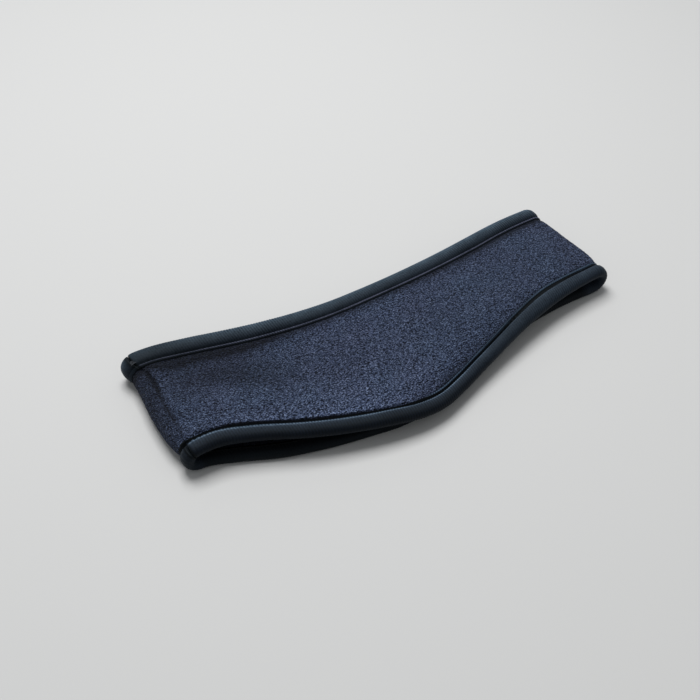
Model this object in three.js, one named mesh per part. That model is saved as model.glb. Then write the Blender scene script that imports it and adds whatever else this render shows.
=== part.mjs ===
// A fleece headband, or ear warmer: one long strip of fleece sewn into a loop at the back of the
// head. It is deeper over the ears than at the back and the forehead, and an elastic tape is folded
// over each edge. It lies as it is put away, folded double on a table, with the back seam on top
// beside the left fold and the ear edge towards -Y. Millimetres, +Z up.
import * as THREE from "three";

// Driving dimensions
const LENGTH = 238.5; // fold to fold, over the tapes
const HALF_LOOP = 240; // back seam to the middle of the forehead, along the fleece
const FLEECE = 2.4; // thickness of the open fleece
const PRESSED = 1.6; // thickness of the fleece inside a tape
const SEAM_DEPTH = 0.8; // how far the back seam draws the outer face in
const SEAM_ALLOWANCE = 0.9; // the turned-in ends that stand inside the loop at the seam
const SEAM_REACH = { groove: 1.5, allowance: 3 }; // how far from the seam each is felt
const SEAM_BY_TAPE = 0.6; // the share of both that is left beside a tape
const TAPE_WIDTH = 9.4; // finished width of a folded tape
const TAPE_THICKNESS = 5.4; // through the plump roll along the edge
const TAPE_INSET = 2.2; // how far the edge of the fleece lies inside the fold of the tape
const SEAM_GAP = 0.35; // from the back seam to each end of a tape
const CLEARANCE = 0.3; // between the fleece and the tape that holds it
const GRIP = 0.2; // from a tape's inner edge, in to where the fleece starts to swell
const SWELL = 1; // and from that edge out to its full thickness

// The bottom of the slot in a tape, from its outer edge
const SLOT_FLOOR = TAPE_INSET - CLEARANCE;

// Half the thickness of a folded tape, against the distance from its outer edge: the roll, the
// groove that the stitching draws in, and the ridge of the tape's turned-in edge.
const TAPE_PROFILE = [
  { fromEdge: 0, half: 0.9 },
  { fromEdge: 0.7, half: 1.9 },
  { fromEdge: 2.2, half: 2.55 },
  { fromEdge: 3.7, half: TAPE_THICKNESS / 2 },
  { fromEdge: 5.3, half: 2.5 },
  { fromEdge: 6.5, half: 2.05 },
  { fromEdge: 7.1, half: 1.9 },
  { fromEdge: 8.2, half: 2.25 },
  { fromEdge: 9.2, half: 1.9 },
];

// The cut of the band: where the middle lines of the two tapes run in y, against the distance
// along the loop from the back seam. Both halves of the loop are cut alike.
const PATTERN = [
  { fromSeam: 0, top: 36.2, ear: -25.0 },
  { fromSeam: 15, top: 35.6, ear: -25.2 },
  { fromSeam: 28, top: 33.4, ear: -29.6 },
  { fromSeam: 45, top: 29.9, ear: -37.0 },
  { fromSeam: 65, top: 26.6, ear: -43.7 },
  { fromSeam: 85, top: 24.5, ear: -48.5 },
  { fromSeam: 100, top: 23.2, ear: -51.0 },
  { fromSeam: 112, top: 22.7, ear: -50.6 },
  { fromSeam: 125, top: 22.3, ear: -47.4 },
  { fromSeam: 140, top: 22.2, ear: -42.8 },
  { fromSeam: 160, top: 22.6, ear: -37.4 },
  { fromSeam: 180, top: 23.4, ear: -33.0 },
  { fromSeam: 200, top: 24.3, ear: -30.0 },
  { fromSeam: 220, top: 25.0, ear: -28.4 },
  { fromSeam: HALF_LOOP, top: 25.0, ear: -28.0 },
];

// How the upper ply lies, against x from the left end: how far it has slipped in y on the lower
// ply, and the height of the middle of its thickness on five lines across the band.
const UPPER_PLY = [
  { x: 9, slip: -0.8, top: 12.4, belowTop: 12.0, middle: 12.8, aboveEar: 13.0, ear: 12.5 },
  { x: 25, slip: -2.0, top: 12.4, belowTop: 11.5, middle: 12.4, aboveEar: 13.4, ear: 12.5 },
  { x: 45, slip: -3.1, top: 12.3, belowTop: 11.3, middle: 12.4, aboveEar: 13.2, ear: 12.2 },
  { x: 70, slip: -4.5, top: 12.2, belowTop: 11.4, middle: 12.4, aboveEar: 12.0, ear: 10.9 },
  { x: 90, slip: -5.4, top: 12.2, belowTop: 11.6, middle: 12.2, aboveEar: 11.2, ear: 9.6 },
  { x: 104, slip: -5.3, top: 12.2, belowTop: 11.8, middle: 12.0, aboveEar: 10.6, ear: 8.3 },
  { x: 116, slip: -5.1, top: 12.2, belowTop: 11.8, middle: 11.8, aboveEar: 10.2, ear: 7.3 },
  { x: 130, slip: -4.5, top: 12.2, belowTop: 11.8, middle: 11.6, aboveEar: 10.4, ear: 7.2 },
  { x: 150, slip: -3.7, top: 12.2, belowTop: 11.7, middle: 11.6, aboveEar: 11.4, ear: 8.6 },
  { x: 175, slip: -2.5, top: 12.2, belowTop: 11.6, middle: 12.2, aboveEar: 13.0, ear: 10.9 },
  { x: 190, slip: -1.6, top: 12.2, belowTop: 11.3, middle: 12.6, aboveEar: 13.8, ear: 11.8 },
  { x: 204, slip: -0.7, top: 12.1, belowTop: 11.6, middle: 13.0, aboveEar: 13.9, ear: 12.2 },
  { x: 230, slip: -0.3, top: 12.1, belowTop: 12.0, middle: 13.2, aboveEar: 13.2, ear: 12.3 },
];

// How the upper ply's tapes lie, against x: the degrees by which each one's outer edge turns up,
// and how wide the ear tape is folded, against TAPE_WIDTH.
const UPPER_TAPES = [
  { x: 9, topTurn: 4, earTurn: 0, earWide: 1 },
  { x: 25, topTurn: 12, earTurn: 3, earWide: 1 },
  { x: 45, topTurn: 11, earTurn: 6, earWide: 1 },
  { x: 70, topTurn: 8, earTurn: 11, earWide: 1 },
  { x: 92, topTurn: 4, earTurn: 17, earWide: 1 },
  { x: 116, topTurn: -3, earTurn: 10, earWide: 1 },
  { x: 140, topTurn: -5, earTurn: 2, earWide: 1 },
  { x: 160, topTurn: -3, earTurn: -8, earWide: 1.04 },
  { x: 180, topTurn: 1, earTurn: -28, earWide: 1.15 },
  { x: 195, topTurn: 6, earTurn: -34, earWide: 1.25 },
  { x: 210, topTurn: 8, earTurn: -18, earWide: 1.12 },
  { x: 230, topTurn: 6, earTurn: 0, earWide: 1 },
];

// The lower ply rests on the table: its tapes lie down on their rolls, and the fleece between
// them sags until it touches.
const LOWER_PLY = { top: 2.4, belowTop: 1.4, middle: 1.1, aboveEar: 1.4, ear: 2.4 };

// On the same five lines, how far each fold stays inside the outermost point of the tapes, and
// how far the back seam lies from the outermost point of the left fold, along the upper side.
const LEFT_FOLD = { top: 0, belowTop: 0.2, middle: -1.3, aboveEar: -1.0, ear: 0.9 };
const RIGHT_FOLD = { top: 0.4, belowTop: -0.8, middle: -1.2, aboveEar: -1.2, ear: 0 };
const BACK_SEAM = { top: 5.5, belowTop: 7.5, middle: 8.5, aboveEar: 7.8, ear: 5.0 };

// The five lines across the band, as fractions of the way from the top tape to the ear tape.
const LINES = { top: 0, belowTop: 0.18, middle: 0.5, aboveEar: 0.82, ear: 1 };

// Steps along the loop, in bands measured from the back seam, and steps across the fleece
const LOOP_STEPS = [
  { until: 6, step: 1.5 },
  { until: 221, step: 9.5 },
  { until: 245, step: 1.6 },
  { until: 461, step: 9.5 },
  { until: 2 * HALF_LOOP - 1.6, step: 1.6 },
];
const SEAM_STEPS = [SEAM_GAP, 1.6];
const FLEECE_STEPS = 6;
const PROBE = 0.02; // the small step by which the surface's directions are measured

// A smooth curve through points: its slope at each inner point leans towards the nearer
// neighbour, its end slopes are given, and it is held level beyond its ends.
function smooth(places, values, startSlope = 0, endSlope = 0) {
  const last = places.length - 1;
  const rise = (i) => (values[i + 1] - values[i]) / (places[i + 1] - places[i]);
  const slopes = places.map((place, i) => {
    if (i === 0) return startSlope;
    if (i === last) return endSlope;
    const before = place - places[i - 1];
    const after = places[i + 1] - place;
    return (after * rise(i - 1) + before * rise(i)) / (before + after);
  });
  return (wanted) => {
    const at = THREE.MathUtils.clamp(wanted, places[0], places[last]);
    let i = 0;
    while (i < last - 1 && at > places[i + 1]) i++;
    const span = places[i + 1] - places[i];
    const t = (at - places[i]) / span;
    const u = 1 - t;
    const ends = u * u * (1 + 2 * t) * values[i] + t * t * (3 - 2 * t) * values[i + 1];
    return ends + span * t * u * (u * slopes[i] - t * slopes[i + 1]);
  };
}

function column(rows, at, name) {
  return smooth(rows.map((row) => row[at]), rows.map((row) => row[name]));
}

const LINE_PLACES = Object.values(LINES);
const topLine = column(PATTERN, "fromSeam", "top");
const earLine = column(PATTERN, "fromSeam", "ear");
const slipAt = column(UPPER_PLY, "x", "slip");
const topTurnAt = column(UPPER_TAPES, "x", "topTurn");
const earTurnAt = column(UPPER_TAPES, "x", "earTurn");
const earWideAt = column(UPPER_TAPES, "x", "earWide");
const upperLines = Object.keys(LINES).map((name) => column(UPPER_PLY, "x", name));
const lowerHeight = smooth(LINE_PLACES, Object.values(LOWER_PLY));
const leftInset = smooth(LINE_PLACES, Object.values(LEFT_FOLD));
const rightInset = smooth(LINE_PLACES, Object.values(RIGHT_FOLD));
const backSeam = smooth(LINE_PLACES, Object.values(BACK_SEAM));

// The height of the upper ply's middle surface at x, a fraction v of the way from tape to tape.
function upperHeight(x, v) {
  const width = topLine(x) - earLine(x);
  const slope = (degrees) => width * Math.tan(THREE.MathUtils.degToRad(degrees));
  const heights = upperLines.map((line) => line(x));
  return smooth(LINE_PLACES, heights, -slope(topTurnAt(x)), slope(earTurnAt(x)))(v);
}

// The middle surface of the band, a distance from the back seam and a fraction v of the way from
// tape to tape. The loop runs up round the left fold, along the upper ply, down round the right
// fold and back along the lower ply.
function middleSurface(distance, v) {
  const low = lowerHeight(v);
  const leftRadius = (upperHeight(0, v) - low) / 2;
  const rightRadius = (upperHeight(LENGTH, v) - low) / 2;
  const start = TAPE_THICKNESS / 2 + leftInset(v) + leftRadius;
  const end = LENGTH - TAPE_THICKNESS / 2 - rightInset(v) - rightRadius;
  const flat = end - start;
  const quarter = (Math.PI / 2) * leftRadius;
  const whole = 2 * flat + 2 * quarter + Math.PI * rightRadius;
  const along = distance / (2 * HALF_LOOP);
  const walked = (along * whole + backSeam(v) + whole) % whole;
  const pastRight = walked - quarter - flat;
  let x, z;
  if (walked < quarter || walked > whole - quarter) {
    const turned = (walked < quarter ? walked : walked - whole) / leftRadius;
    x = start - leftRadius * Math.cos(turned);
    z = low + leftRadius * (1 + Math.sin(turned));
  } else if (pastRight < 0) {
    x = start + walked - quarter;
    z = upperHeight(x, v);
  } else if (pastRight < Math.PI * rightRadius) {
    x = end + rightRadius * Math.sin(pastRight / rightRadius);
    z = low + rightRadius * (1 + Math.cos(pastRight / rightRadius));
  } else {
    x = start + whole - quarter - walked;
    z = low;
  }
  const fromSeam = Math.min(distance, 2 * HALF_LOOP - distance);
  const lift = (z - low) / (upperHeight(x, v) - low);
  const y = THREE.MathUtils.lerp(topLine(fromSeam), earLine(fromSeam), v) + lift * slipAt(x);
  return new THREE.Vector3(x, y, z);
}

// The directions across the band, from tape to tape, and out of the loop.
function directions(distance, v) {
  const near = Math.max(v - PROBE, 0);
  const far = Math.min(v + PROBE, 1);
  const across = middleSurface(distance, far).sub(middleSurface(distance, near)).normalize();
  const along = middleSurface(distance + 2 * PROBE, v).sub(middleSurface(distance - 2 * PROBE, v));
  return { across, out: across.clone().cross(along).normalize() };
}

// A section of the loop: its distance from the back seam, the way round and the nearer way, its
// width between the middles of the tapes, and how wide its ear tape is folded.
function section(distance) {
  const top = middleSurface(distance, 0);
  const ear = middleSurface(distance, 1);
  const upper = ear.z > LOWER_PLY.ear + TAPE_THICKNESS / 2;
  return {
    distance,
    fromSeam: Math.min(distance, 2 * HALF_LOOP - distance),
    width: top.distanceTo(ear),
    earWide: upper ? earWideAt(ear.x) : 1,
  };
}

// A point of the band in a section: its distance across from the middle of the top tape, and its
// distance out from the middle surface. Nothing goes below the table, z = 0.
function place(at, across, out) {
  const v = THREE.MathUtils.clamp(across / at.width, 0, 1);
  const beyond = across - v * at.width;
  const frame = directions(at.distance, v);
  const point = middleSurface(at.distance, v);
  point.addScaledVector(frame.across, beyond).addScaledVector(frame.out, out);
  point.z = Math.max(point.z, 0);
  return point;
}

// The sections go once round the loop, close together at the folds and beside the seam.
function makeSections() {
  const distances = [0, ...SEAM_STEPS];
  for (const { until, step } of LOOP_STEPS) {
    const from = distances[distances.length - 1];
    const count = Math.max(1, Math.round((until - from) / step));
    for (let i = 1; i <= count; i++) distances.push(from + ((until - from) * i) / count);
  }
  distances.push(2 * HALF_LOOP - SEAM_GAP);
  return distances.map(section);
}

// Skins a row of rings of points, either closed on itself or with a lid at each end. The patches
// between rings are split along one diagonal or the other, so that a tape's twist with the fleece
// that it holds, and its slot keeps clear of it.
function skin(rings, lid) {
  const count = rings[0].length;
  const positions = rings.flat().flatMap((point) => point.toArray());
  const indices = [];
  const last = lid ? rings.length - 1 : rings.length;
  for (let i = 0; i < last; i++) {
    const here = i * count;
    const next = ((i + 1) % rings.length) * count;
    for (let j = 0; j < count; j++) {
      const [a, b, c, d] = [here + j, here + (j + 1) % count, next + (j + 1) % count, next + j];
      if (lid) indices.push(a, b, d, b, c, d);
      else indices.push(a, b, c, a, c, d);
    }
  }
  if (lid) {
    const end = last * count;
    for (const [a, b, c] of lid) {
      indices.push(a, b, c);
      indices.push(end + a, end + c, end + b);
    }
  }
  const geometry = new THREE.BufferGeometry();
  geometry.setAttribute("position", new THREE.Float32BufferAttribute(positions, 3));
  geometry.setIndex(indices);
  geometry.computeVertexNormals();
  return geometry;
}

// How strongly the seam is felt at a distance from it, from 1 down to 0.
function nearSeam(fromSeam, reach) {
  return Math.exp(-((fromSeam / reach) ** 2));
}

// The fleece: thin where the tapes press it, and drawn in along the back seam.
function fleeceRing(at) {
  const half = FLEECE / 2;
  const pressed = PRESSED / 2;
  const edge = TAPE_INSET - TAPE_WIDTH / 2;
  const topEdge = TAPE_WIDTH / 2;
  const earEdge = at.width - TAPE_WIDTH * (at.earWide - 0.5);
  const groove = SEAM_DEPTH * nearSeam(at.fromSeam, SEAM_REACH.groove);
  const allowance = SEAM_ALLOWANCE * nearSeam(at.fromSeam, SEAM_REACH.allowance);
  const face = [
    { across: edge, half: pressed, seam: 0 },
    { across: topEdge - GRIP, half: pressed, seam: 0 },
  ];
  for (let i = 0; i <= FLEECE_STEPS; i++) {
    const across = THREE.MathUtils.lerp(topEdge + SWELL, earEdge - SWELL, i / FLEECE_STEPS);
    face.push({ across, half, seam: i > 0 && i < FLEECE_STEPS ? 1 : SEAM_BY_TAPE });
  }
  face.push({ across: earEdge + GRIP, half: pressed, seam: 0 });
  face.push({ across: at.width - edge, half: pressed, seam: 0 });
  const outer = face.map((p) => place(at, p.across, p.half - groove * p.seam));
  const inner = face.map((p) => place(at, p.across, -p.half - allowance * p.seam));
  return [...outer, ...inner.reverse()];
}

// The tape's section: its outer face, the slot that holds the fleece, and its inner face.
function tapeOutline() {
  const slot = PRESSED / 2 + CLEARANCE;
  const outer = TAPE_PROFILE.map((row) => [row.fromEdge, row.half]);
  const inner = TAPE_PROFILE.map((row) => [row.fromEdge, -row.half]).reverse();
  return [
    ...outer,
    [TAPE_WIDTH, slot],
    [SLOT_FLOOR, slot],
    [SLOT_FLOOR, -slot],
    [TAPE_WIDTH, -slot],
    ...inner,
  ];
}

// The top tape is folded over the edge at y+, the ear tape, its mirror image, over the other.
function tapeRing(outline, at, isEar) {
  const wide = isEar ? at.earWide : 1;
  const ring = outline.map(([fromEdge, out]) => {
    const inSlot = Math.max(fromEdge - SLOT_FLOOR, 0);
    const across = fromEdge + inSlot * (wide - 1) - TAPE_WIDTH / 2;
    return place(at, isEar ? at.width - across : across, out);
  });
  return isEar ? ring.reverse() : ring;
}

function tapeGeometry(sections, isEar) {
  const outline = tapeOutline();
  const rings = sections.slice(1).map((at) => tapeRing(outline, at, isEar));
  const side = isEar ? -1 : 1;
  const flat = outline.map(([fromEdge, out]) => new THREE.Vector2(side * fromEdge, out));
  const lid = THREE.ShapeUtils.triangulateShape(isEar ? flat.reverse() : flat, []);
  return skin(rings, lid);
}

function finish(color, roughness) {
  return new THREE.MeshStandardMaterial({ color, roughness, metalness: 0 });
}

function piece(name, geometry, material) {
  const mesh = new THREE.Mesh(geometry, material);
  mesh.name = name;
  return mesh;
}

const sections = makeSections();
const headband = new THREE.Group();
headband.name = "fleece_headband";
headband.add(
  piece("fleece_band", skin(sections.map(fleeceRing)), finish(0x3a4256, 1.0)),
  piece("top_binding", tapeGeometry(sections, false), finish(0x2d333c, 0.85)),
  piece("ear_binding", tapeGeometry(sections, true), finish(0x1c2330, 0.85)),
);

// The origin is the middle of the footprint, on the table.
const box = new THREE.Box3().setFromObject(headband);
const middle = box.getCenter(new THREE.Vector3());
headband.position.set(-middle.x, -middle.y, 0);

export default headband;
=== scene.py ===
# %% [markdown]
# This lesson builds a fleece headband: a long strip of fleece sewn into a loop at the back of the
# head, with a soft stretch tape folded over each edge. It lies folded double on a pale table. A
# plain solid model of it is loaded first, as a frame, and every piece made here stays in its box.

# %% Load the solid model
import math

import bpy
import numpy as np
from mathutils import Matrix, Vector
from mathutils.geometry import tessellate_polygon


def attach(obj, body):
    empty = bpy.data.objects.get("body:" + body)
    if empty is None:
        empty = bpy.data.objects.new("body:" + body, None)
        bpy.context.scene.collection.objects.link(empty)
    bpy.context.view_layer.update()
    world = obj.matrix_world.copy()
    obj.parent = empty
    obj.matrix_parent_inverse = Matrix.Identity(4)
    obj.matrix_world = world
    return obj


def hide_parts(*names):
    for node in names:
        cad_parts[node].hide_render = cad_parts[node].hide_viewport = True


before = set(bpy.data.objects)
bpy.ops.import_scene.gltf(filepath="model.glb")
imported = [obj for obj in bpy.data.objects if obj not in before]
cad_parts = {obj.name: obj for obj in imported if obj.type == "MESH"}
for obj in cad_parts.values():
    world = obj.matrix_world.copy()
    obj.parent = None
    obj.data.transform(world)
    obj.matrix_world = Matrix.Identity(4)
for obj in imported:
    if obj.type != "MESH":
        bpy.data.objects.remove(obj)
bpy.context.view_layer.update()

print("solids:", sorted(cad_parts))

# %% [markdown]
# The picture is taken from the ear side, turned 32 degrees to the left of the band and looking
# down at 45 degrees, with a normal lens. A camera can be aimed last, but here it is set first, so
# that each later piece can be judged from the place where it will be seen.

# %% Set the camera
CAMERA_AT = (-0.1949, -0.2741, 0.3345)
CAMERA_DOWN = 45.0
CAMERA_TURN = -31.98
LENS = 50
SENSOR = 36
NEAREST = 0.01

camera_data = bpy.data.cameras.new("camera")
camera_data.lens = LENS
camera_data.sensor_width = SENSOR
camera_data.clip_start = NEAREST
camera = bpy.data.objects.new("camera", camera_data)
camera.location = CAMERA_AT
camera.rotation_euler = (math.radians(90 - CAMERA_DOWN), 0, math.radians(CAMERA_TURN))
bpy.context.collection.objects.link(camera)
bpy.context.scene.camera = camera
print("camera stands", round(1000 * CAMERA_AT[2]), "mm above the table")

# %% [markdown]
# Cloth has no corners, so each measure of the band runs as a smooth curve through a few measured
# points. Blender has curve objects, but here thousands of points are needed at once, and numpy
# works a whole row of them out in one go. The curve leans at each point towards its nearer
# neighbour, which keeps it from swinging wide.

# %% A smooth curve through points
def through(places, values, at, start_slope=0.0, end_slope=0.0):
    places = np.asarray(places, float)
    at = np.clip(np.asarray(at, float), places[0], places[-1])
    values = np.asarray(values, float)
    spans = np.diff(places)
    rises = np.diff(values) / spans
    slopes = np.empty(values.shape)
    slopes[..., 0] = start_slope
    slopes[..., -1] = end_slope
    leaning = spans[1:] * rises[..., :-1] + spans[:-1] * rises[..., 1:]
    slopes[..., 1:-1] = leaning / (spans[1:] + spans[:-1])
    i = np.clip(np.searchsorted(places, at) - 1, 0, len(places) - 2)

    def pick(table, k):
        if table.ndim == 1:
            return table[k]
        return np.take_along_axis(table, k[..., None], -1)[..., 0]

    span = spans[i]
    t = (at - places[i]) / span
    u = 1 - t
    ends = u * u * (1 + 2 * t) * pick(values, i) + t * t * (3 - 2 * t) * pick(values, i + 1)
    return ends + span * t * u * (u * pick(slopes, i) - t * pick(slopes, i + 1))


print("halfway between 0 and 2:", through([0, 1], [0, 2], 0.5))

# %% [markdown]
# A headband is cut flat. It is narrow at the forehead, deep over the ears and a little deeper at
# the back, where the two ends are sewn together. The cut gives where the middle of each tape
# runs, in millimetres, against the distance from the back seam. Two curves could be drawn by hand
# instead, but a short table is easier to correct. Both halves of the loop are cut alike, so one
# table does for both.

# %% The cut of the band
HALF_LOOP = 240.0
LOOP = 2 * HALF_LOOP
CUT = {
    "from_seam": [0, 15, 28, 45, 65, 85, 100, 112, 125, 140, 160, 180, 200, 220, 240],
    "top": [36.2, 35.6, 33.4, 29.9, 26.6, 24.5, 23.2, 22.7, 22.3, 22.2, 22.6, 23.4, 24.3, 25, 25],
    "ear": [
        -25, -25.2, -29.6, -37, -43.7, -48.5, -51, -50.6, -47.4, -42.8, -37.4, -33, -30, -28.4, -28,
    ],
}
OVER_THE_EAR = 104


def cut_line(name, from_seam):
    return through(CUT["from_seam"], CUT[name], from_seam)


deepest = cut_line("top", OVER_THE_EAR) - cut_line("ear", OVER_THE_EAR)
print("deepest over the ear, between the tapes' middles:", round(float(deepest), 1), "mm")

# %% [markdown]
# Put down on a table, the loop folds flat beside the back seam and again at the forehead. The
# upper half keeps its own form: it has slid a few millimetres towards the ear edge, it stands on
# its two folds, and over the ears its edge droops. Tables of heights describe that better than a
# simulation would, because the picture shows one certain way of lying. Five lines across the
# band, from the top tape to the ear tape, carry the heights of the middle of the fleece. The
# other tables say how far each half has slid, and how far in each line turns at the two folds.

# %% How the band lies
LENGTH = 238.5
ROLL = 5.4
LINES = [0, 0.18, 0.5, 0.82, 1]
UPPER_X = [9, 25, 45, 70, 90, 104, 116, 130, 150, 175, 190, 204, 230]
UPPER_SLIP = [-0.8, -2, -3.1, -4.5, -5.4, -5.3, -5.1, -4.5, -3.7, -2.5, -1.6, -0.7, -0.3]
UPPER_HEIGHTS = {
    "top": [12.4, 12.4, 12.3, 12.2, 12.2, 12.2, 12.2, 12.2, 12.2, 12.2, 12.2, 12.1, 12.1],
    "below_top": [11.8, 11, 10.7, 10.9, 11.2, 11.5, 11.6, 11.7, 11.6, 11.5, 11.3, 11.6, 12],
    "middle": [12.6, 12, 11.8, 11.9, 11.9, 11.8, 11.7, 11.6, 11.6, 12.2, 12.6, 13, 13.2],
    "above_ear": [13, 13.6, 13.6, 12.6, 11.6, 10.8, 10.2, 10.4, 11.4, 13, 13.8, 13.9, 13.2],
    "ear": [12.5, 12.5, 12.2, 10.9, 9.6, 8.3, 7.3, 7.2, 8.6, 10.9, 11.8, 12.2, 12.3],
}
LOWER_X = [9, 22, 40, 60, 80, 150, 185, 215, 230]
LOWER_SLIP = [0, -0.6, -1.1, -0.7, 0, 0, 1.6, 0.8, 0]
LOWER_HEIGHTS = [2.4, 1.4, 1.1, 1.4, 2.4]
LEFT_FOLD_IN = [0, 0.2, -1.3, -1.0, 0.9]
RIGHT_FOLD_IN = [0.2, -1.5, -1.4, -1.7, 0]
BACK_SEAM_FROM_FOLD = [5.5, 8.4, 9.2, 8.0, 5.0]
lowest, highest = min(UPPER_HEIGHTS["ear"]), max(UPPER_HEIGHTS["above_ear"])
print("the upper half lies", lowest, "to", highest, "mm above the table")

# %% [markdown]
# The two tapes of the upper half don't lie level: each outer edge turns up or down along its
# way, and here and there a tape is folded wider. A curve's tilt could turn them, but these few
# angles and widths decide how much light each roll catches, so they are worth tables of their
# own.

# %% How the upper tapes turn
TAPE_X = [9, 25, 45, 70, 92, 116, 140, 160, 180, 195, 210, 230]
TAPE_TURN = {
    "top": [4, 12, 11, 8, 4, -3, -5, -3, 1, 6, 8, 6],
    "ear": [0, 3, 6, 11, 15, 8, 2, -5, -16, -21, -11, 0],
}
TAPE_WIDE = {
    "top": [1.16, 1.16, 1.15, 1.13, 1.11, 1.09, 1.08, 1.07, 1.05, 1.03, 1, 1],
    "ear": [1.1, 1.12, 1.12, 1.12, 1.1, 1.02, 1, 1.03, 1.12, 1.18, 1.08, 1],
}


def upper_height(x, v):
    width = cut_line("top", x) - cut_line("ear", x)
    heights = [through(UPPER_X, row, x) for row in UPPER_HEIGHTS.values()]
    turn = {name: np.radians(through(TAPE_X, row, x)) for name, row in TAPE_TURN.items()}
    slopes = -width * np.tan(turn["top"]), width * np.tan(turn["ear"])
    return through(LINES, np.stack(heights, -1), v, *slopes)


print("height of the ear tape at its lowest:", round(float(upper_height(120.0, 1.0)), 1), "mm")

# %% [markdown]
# Everything is placed on one imagined surface in the middle of the fleece. It is found by walking
# round the loop: up round the left fold, along the upper half, down round the right fold and back
# along the table. A point needs only its distance from the back seam and how far it lies from
# tape to tape, and the fleece, the tapes and every stitch then fit each other by themselves. A
# lattice could bend a flat band instead, but it would squeeze the cloth at the two folds.

# %% The middle surface of the band
def middle_surface(distance, v):
    distance, v = np.broadcast_arrays(np.asarray(distance, float), np.asarray(v, float))
    low = through(LINES, LOWER_HEIGHTS, v)
    left_radius = (upper_height(0.0, v) - low) / 2
    right_radius = (upper_height(LENGTH, v) - low) / 2
    start = ROLL / 2 + through(LINES, LEFT_FOLD_IN, v) + left_radius
    end = LENGTH - ROLL / 2 - through(LINES, RIGHT_FOLD_IN, v) - right_radius
    quarter = math.pi / 2 * left_radius
    whole = 2 * (end - start) + 2 * quarter + math.pi * right_radius
    walked = (distance / LOOP * whole + through(LINES, BACK_SEAM_FROM_FOLD, v)) % whole
    past_right = walked - quarter - (end - start)
    turned_left = np.where(walked < quarter, walked, walked - whole) / left_radius
    turned_right = past_right / right_radius
    where = [
        (walked < quarter) | (walked > whole - quarter),
        past_right < 0,
        past_right < math.pi * right_radius,
    ]
    x = np.select(
        where,
        [
            start - left_radius * np.cos(turned_left),
            start + walked - quarter,
            end + right_radius * np.sin(turned_right),
        ],
        start + whole - quarter - walked,
    )
    high = upper_height(x, v)
    z = np.select(
        where,
        [
            low + left_radius * (1 + np.sin(turned_left)),
            high,
            low + right_radius * (1 + np.cos(turned_right)),
        ],
        low,
    )
    from_seam = np.minimum(distance, LOOP - distance)
    flat_y = cut_line("top", from_seam) * (1 - v) + cut_line("ear", from_seam) * v
    lifted = (z - low) / (high - low)
    slip = lifted * through(UPPER_X, UPPER_SLIP, x) + (1 - lifted) * through(LOWER_X, LOWER_SLIP, x)
    return np.stack([x, flat_y + slip, z], -1)


print("the back seam starts at", np.round(middle_surface(0.0, 0.0), 1))

# %% [markdown]
# A real thread, roll or nap stands out from that surface, so each point is also given a distance
# out. The direction out is found as a carpenter finds a square: one small step across the band,
# one small step along it, and the line at right angles to both. A Solidify modifier gives cloth
# its thickness too, but the same everywhere. Beyond the tapes' middles the surface runs straight
# on, and nothing goes below the table.

# %% A point on the band
FRAME_SHIFT = np.array([-119.238, 10.208, 0.0])
PROBE = 0.02


def unit(vectors):
    return vectors / np.linalg.norm(vectors, axis=-1, keepdims=True)


def directions(distance, v):
    near, far = np.maximum(v - PROBE, 0), np.minimum(v + PROBE, 1)
    across = unit(middle_surface(distance, far) - middle_surface(distance, near))
    ahead = middle_surface(distance + 2 * PROBE, v) - middle_surface(distance - 2 * PROBE, v)
    return across, unit(np.cross(across, ahead))


def band_width(distance):
    return np.linalg.norm(middle_surface(distance, 1.0) - middle_surface(distance, 0.0), axis=-1)


def on_band(distance, across, out):
    distance, across, out = np.broadcast_arrays(distance, across, out)
    width = band_width(distance)
    v = np.clip(across / width, 0, 1)
    across_way, out_way = directions(distance, v)
    points = middle_surface(distance, v) + across_way * (across - v * width)[..., None]
    points = points + out_way * out[..., None]
    points[..., 2] = np.maximum(points[..., 2], 0)
    return points + FRAME_SHIFT


print("middle of the forehead, outer face:", np.round(on_band(HALF_LOOP, 20.0, 1.2), 1))

# %% [markdown]
# Fleece and tape are never quite even. A noise texture could displace them, but it would not
# close round the loop. So random heights on a grid are joined smoothly, and the last column of
# the grid is the first again, so that no step shows at the seam. A fixed seed gives the same
# cloth on each run.

# %% Even noise round the loop
GRID_ROWS = 160
FIRST_ROW = 20


def cloth_noise(along, across, cell, seed):
    around = max(2, round(LOOP / cell))
    lattice = np.random.default_rng(seed).uniform(-1, 1, (around, GRID_ROWS))
    a = np.asarray(along, float) / LOOP * around
    b = np.asarray(across, float) / cell + FIRST_ROW
    left, low = np.floor(a).astype(int), np.floor(b).astype(int)
    s, t = a - left, b - low
    s, t = s * s * (3 - 2 * s), t * t * (3 - 2 * t)
    left, right, high = left % around, (left + 1) % around, low + 1
    below = lattice[left, low] * (1 - s) + lattice[right, low] * s
    above = lattice[left, high] * (1 - s) + lattice[right, high] * s
    return below * (1 - t) + above * t


print("noise at one place:", round(float(cloth_noise(10.0, 5.0, 18.0, 1)), 3))

# %% [markdown]
# Lumps, shades and patches all start and stop softly somewhere on the band. They could be painted
# on the mesh as weights, but small tables are easier to correct. Five helpers read such tables: a
# soft spot round a place, a soft rise from one place to another, a part that rises and falls
# again, a few spots added up, and a few layers of noise added up.

# %% Soft spots and rises
def soft_spot(place, middle, reach):
    return np.exp(-(((place - middle) / reach) ** 2))


def rise(place, start, full):
    t = np.clip((place - start) / (full - start), 0, 1)
    return t * t * (3 - 2 * t)


def part(place, start, full, falling, end):
    return rise(place, start, full) * (1 - rise(place, falling, end))


def spots(place, rows):
    return sum(much * soft_spot(place, middle, reach) for middle, reach, much in rows)


def lumps(along, across, layers):
    return sum(height * cloth_noise(along, across, cell, seed) for cell, seed, height in layers)


print("a quarter of the way up a rise:", rise(0.25, 0, 1))

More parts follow.
